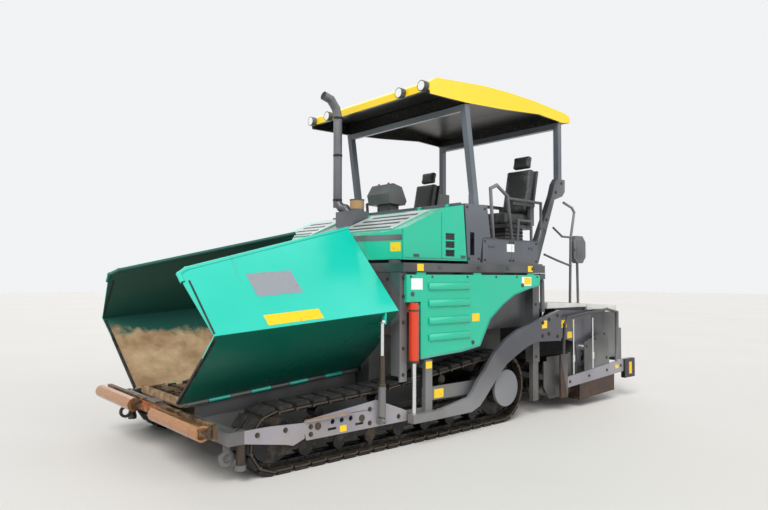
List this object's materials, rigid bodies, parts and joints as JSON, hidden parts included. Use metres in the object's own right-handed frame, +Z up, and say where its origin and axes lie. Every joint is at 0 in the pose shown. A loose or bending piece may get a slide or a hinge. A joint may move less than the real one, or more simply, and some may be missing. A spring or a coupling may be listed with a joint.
{
  "type": "asphalt paver",
  "caption": "Tracked asphalt paver with folding hopper wings, twin conveyors and augers, engine hood, operator platform under a fixed canopy and an extending screed.",
  "frame": {"origin": "ground, middle of the machine's box", "axes": "+Z up, -Y the front with the hopper, +X the machine's left side"},
  "size_m": [2.604, 6.0825, 3.65],
  "materials": {
    "green_paint": "satin",
    "grey_paint": "satin",
    "light_paint": "satin",
    "yellow_paint": "satin",
    "red_paint": "satin",
    "dark_steel": "rough",
    "worn_steel": "worn",
    "rod_chrome": "polished",
    "track_steel": "rough",
    "seat_black": "matte",
    "lamp_black": "matte",
    "walk_white": "satin",
    "tube_grey": "satin",
    "rust_steel": "rough"
  },
  "bodies": {
    "chassis": {"main_frame": "dark_steel", "hopper_floor": "worn_steel", "conveyors": "worn_steel", "track_left": "track_steel", "track_right": "track_steel", "running_gear": "dark_steel", "side_guards": "light_paint", "front_beam": "dark_steel", "body_shell": "grey_paint", "engine_block": "dark_steel", "deck_rails": "grey_paint", "exhaust": "dark_steel", "platform": "grey_paint", "handrails": "tube_grey", "console": "grey_paint", "seat_frames": "lamp_black", "seat_cushions": "seat_black", "front_arch": "grey_paint", "rear_arch": "grey_paint", "roof": "yellow_paint", "lamps": "lamp_black", "level_cylinders": "red_paint", "tow_guides": "grey_paint", "nose": "green_paint", "lift_lugs": "grey_paint", "wing_forks": "grey_paint", "rear_brackets": "grey_paint"},
    "wing_left": {"wing_left": "green_paint"},
    "wing_right": {"wing_right": "green_paint"},
    "push_bar": {"push_bar": "worn_steel"},
    "hood": {"hood": "green_paint"},
    "auger_carrier": {"auger_carrier": "dark_steel"},
    "tow_points": {"tow_points": "grey_paint"},
    "screed": {"tow_arms": "grey_paint", "arm_plates": "grey_paint", "main_screed": "rust_steel", "walkway": "walk_white", "screed_rails": "tube_grey"},
    "extension_left": {"extension_left": "grey_paint", "extension_walk_left": "walk_white"},
    "extension_right": {"extension_right": "grey_paint", "extension_walk_right": "walk_white"},
    "lift_barrels": {"lift_barrels": "grey_paint"},
    "lift_rods": {"lift_rods": "rod_chrome"},
    "wing_barrel_left": {"wing_barrel_left": "grey_paint"},
    "wing_barrel_right": {"wing_barrel_right": "grey_paint"},
    "wing_stage_left": {"wing_stage_left": "worn_steel"},
    "wing_stage_right": {"wing_stage_right": "worn_steel"},
    "wing_rod_left": {"wing_rod_left": "rod_chrome"},
    "wing_rod_right": {"wing_rod_right": "rod_chrome"},
    "push_roller_left": {"push_roller_left": "worn_steel"},
    "push_roller_right": {"push_roller_right": "worn_steel"},
    "side_flap_left": {"side_flap_left": "green_paint"},
    "side_flap_right": {"side_flap_right": "green_paint"},
    "auger_left": {"auger_left": "dark_steel"},
    "auger_right": {"auger_right": "dark_steel"}
  },
  "joints": [
    {"name": "wing_left_fold", "type": "hinge", "parent": "chassis", "child": "wing_left", "pos_m": [0.45, -2.86, 0.49], "axis": [0, 0.9976, 0.0698], "range_deg": [0, 30]},
    {"name": "wing_right_fold", "type": "hinge", "parent": "chassis", "child": "wing_right", "pos_m": [-0.45, -2.86, 0.49], "axis": [0, -0.9976, -0.0698], "range_deg": [0, 30]},
    {"name": "wing_barrel_left_swing", "type": "hinge", "parent": "chassis", "child": "wing_barrel_left", "pos_m": [1.24, -1.335, 0.29], "axis": [0, 1, 0], "range_deg": [0, 26]},
    {"name": "wing_stage_left_slide", "type": "slide", "parent": "wing_barrel_left", "child": "wing_stage_left", "axis": [0, 0, 1], "range_m": [-0.23, 0]},
    {"name": "wing_rod_left_slide", "type": "slide", "parent": "wing_stage_left", "child": "wing_rod_left", "axis": [0, 0, 1], "range_m": [-0.23, 0]},
    {"name": "wing_barrel_right_swing", "type": "hinge", "parent": "chassis", "child": "wing_barrel_right", "pos_m": [-1.24, -1.335, 0.29], "axis": [0, -1, 0], "range_deg": [0, 26]},
    {"name": "wing_stage_right_slide", "type": "slide", "parent": "wing_barrel_right", "child": "wing_stage_right", "axis": [0, 0, 1], "range_m": [-0.23, 0]},
    {"name": "wing_rod_right_slide", "type": "slide", "parent": "wing_stage_right", "child": "wing_rod_right", "axis": [0, 0, 1], "range_m": [-0.23, 0]},
    {"name": "push_bar_swing", "type": "hinge", "parent": "chassis", "child": "push_bar", "pos_m": [0, -2.884, 0.415], "axis": [0, 0, 1], "range_deg": [-2, 2]},
    {"name": "push_roller_left_spin", "type": "hinge", "parent": "push_bar", "child": "push_roller_left", "pos_m": [0.6925, -2.97, 0.415], "axis": [1, 0, 0], "continuous": true},
    {"name": "push_roller_right_spin", "type": "hinge", "parent": "push_bar", "child": "push_roller_right", "pos_m": [-0.6925, -2.97, 0.415], "axis": [1, 0, 0], "continuous": true},
    {"name": "hood_lift", "type": "hinge", "parent": "chassis", "child": "hood", "pos_m": [0, -0.15, 2.312], "axis": [-1, 0, 0], "range_deg": [0, 50]},
    {"name": "side_flap_left_lift", "type": "hinge", "parent": "chassis", "child": "side_flap_left", "pos_m": [1.222, 0, 1.595], "axis": [0, -1, 0], "range_deg": [0, 80]},
    {"name": "side_flap_right_lift", "type": "hinge", "parent": "chassis", "child": "side_flap_right", "pos_m": [-1.222, 0, 1.595], "axis": [0, 1, 0], "range_deg": [0, 80]},
    {"name": "auger_height", "type": "slide", "parent": "chassis", "child": "auger_carrier", "axis": [0, 0, 1], "range_m": [0, 0.15]},
    {"name": "auger_left_spin", "type": "hinge", "parent": "auger_carrier", "child": "auger_left", "pos_m": [0.6, 1.45, 0.33], "axis": [1, 0, 0], "continuous": true},
    {"name": "auger_right_spin", "type": "hinge", "parent": "auger_carrier", "child": "auger_right", "pos_m": [-0.6, 1.45, 0.33], "axis": [1, 0, 0], "continuous": true},
    {"name": "tow_point_height", "type": "slide", "parent": "chassis", "child": "tow_points", "axis": [0, 0, 1], "range_m": [0, 0.26]},
    {"name": "screed_lift", "type": "hinge", "parent": "tow_points", "child": "screed", "pos_m": [0, -0.64, 0.262], "axis": [1, 0, 0], "range_deg": [-2.2, 4]},
    {"name": "extension_left_slide", "type": "slide", "parent": "screed", "child": "extension_left", "axis": [1, 0, 0], "range_m": [0, 1.225]},
    {"name": "extension_right_slide", "type": "slide", "parent": "screed", "child": "extension_right", "axis": [-1, 0, 0], "range_m": [0, 1.225]},
    {"name": "lift_barrels_swing", "type": "hinge", "parent": "chassis", "child": "lift_barrels", "pos_m": [0, 1.155, 1.56], "axis": [1, 0, 0], "range_deg": [-5, 3]},
    {"name": "lift_rods_slide", "type": "slide", "parent": "lift_barrels", "child": "lift_rods", "axis": [0, -0.025, 0.9997], "range_m": [-0.08, 0.14]}
  ],
  "couplings": [
    {"joint": "wing_barrel_left_swing", "follows": "wing_left_fold", "ratio": 0.8},
    {"joint": "wing_stage_left_slide", "follows": "wing_left_fold", "m_per_rad": -0.415},
    {"joint": "wing_rod_left_slide", "follows": "wing_left_fold", "m_per_rad": -0.415},
    {"joint": "wing_barrel_right_swing", "follows": "wing_right_fold", "ratio": 0.8},
    {"joint": "wing_stage_right_slide", "follows": "wing_right_fold", "m_per_rad": -0.415},
    {"joint": "wing_rod_right_slide", "follows": "wing_right_fold", "m_per_rad": -0.415},
    {"joint": "lift_barrels_swing", "follows": "screed_lift", "ratio": -0.95},
    {"joint": "lift_rods_slide", "follows": "screed_lift", "m_per_rad": 1.8}
  ]
}
